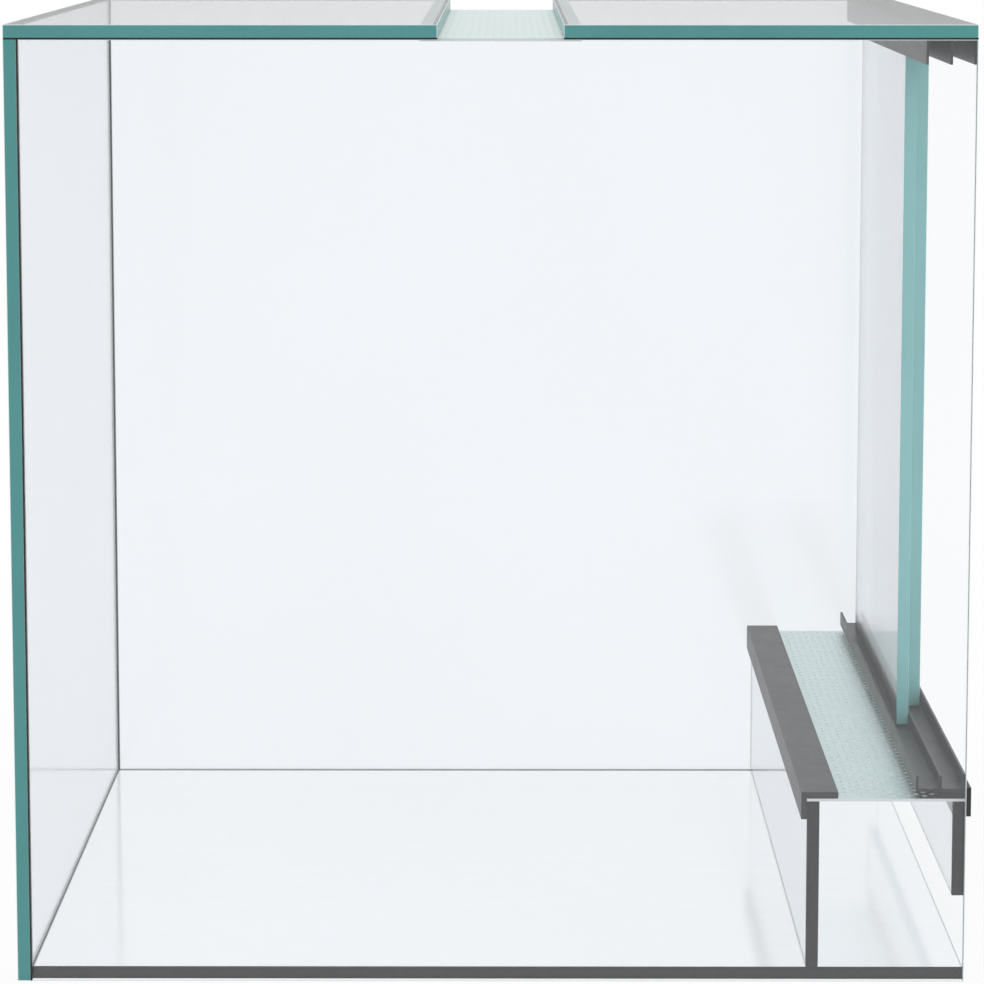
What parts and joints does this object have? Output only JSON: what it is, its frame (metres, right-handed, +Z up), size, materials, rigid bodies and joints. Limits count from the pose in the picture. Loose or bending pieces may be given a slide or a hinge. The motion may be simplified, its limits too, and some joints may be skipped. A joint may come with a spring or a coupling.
{
  "type": "glass terrarium cabinet",
  "caption": "Cube-shaped clear glass terrarium with sliding glass front doors in plastic rails, a perforated front air intake and a perforated air outlet in the top.",
  "frame": {"origin": "middle of the glass box in plan, on the base pane's underside, which is the plane the cabinet stands on", "axes": "+Z up; X along the doors' travel, +X to the right as seen from the front; -Y is the front with the doors, +Y the back pane"},
  "size_m": [0.3, 0.302, 0.302],
  "materials": {
    "pane_glass": "polished clear float glass with green-blue edges",
    "door_glass": "polished clear float glass with ground edges",
    "silicone": "cured black silicone, slightly glossy",
    "rail_plastic": "extruded, dark grey, satin",
    "perforated_metal": "satin, perforated, cool pale grey"
  },
  "bodies": {
    "cabinet": {"base_pane": "pane_glass", "back_pane": "pane_glass", "side_pane_left": "pane_glass", "side_pane_right": "pane_glass", "top_pane_rear": "pane_glass", "top_pane_front": "pane_glass", "vent_wall_pane": "pane_glass", "front_strip_pane": "pane_glass", "joint_back_left": "silicone", "joint_back_right": "silicone", "joint_base_left": "silicone", "joint_base_right": "silicone", "joint_base_back": "silicone", "joint_top_back": "silicone", "joint_top_rear_left": "silicone", "joint_top_rear_right": "silicone", "joint_top_front_left": "silicone", "joint_top_front_right": "silicone", "joint_vent_wall_base": "silicone", "joint_vent_wall_left": "silicone", "joint_vent_wall_right": "silicone", "joint_front_strip_left": "silicone", "joint_front_strip_right": "silicone", "bond_outlet_rear": "silicone", "bond_outlet_front": "silicone", "bond_vent_wall": "silicone", "bond_front_strip": "silicone", "bond_cap": "silicone", "bond_top_rail": "silicone", "bed_bottom_rail": "silicone", "top_door_rail": "rail_plastic", "bottom_door_rail": "rail_plastic", "vent_wall_cap": "rail_plastic", "outlet_sheet": "perforated_metal", "intake_sheet": "perforated_metal"},
    "inner_door": {"door_pane_inner": "door_glass"},
    "outer_door": {"door_pane_outer": "door_glass"}
  },
  "joints": [
    {"name": "inner_door_slide", "type": "slide", "parent": "cabinet", "child": "inner_door", "axis": [1, 0, 0], "range_m": [-0.0967, 0.0317]},
    {"name": "outer_door_slide", "type": "slide", "parent": "cabinet", "child": "outer_door", "axis": [1, 0, 0], "range_m": [-0.1284, 0]}
  ]
}
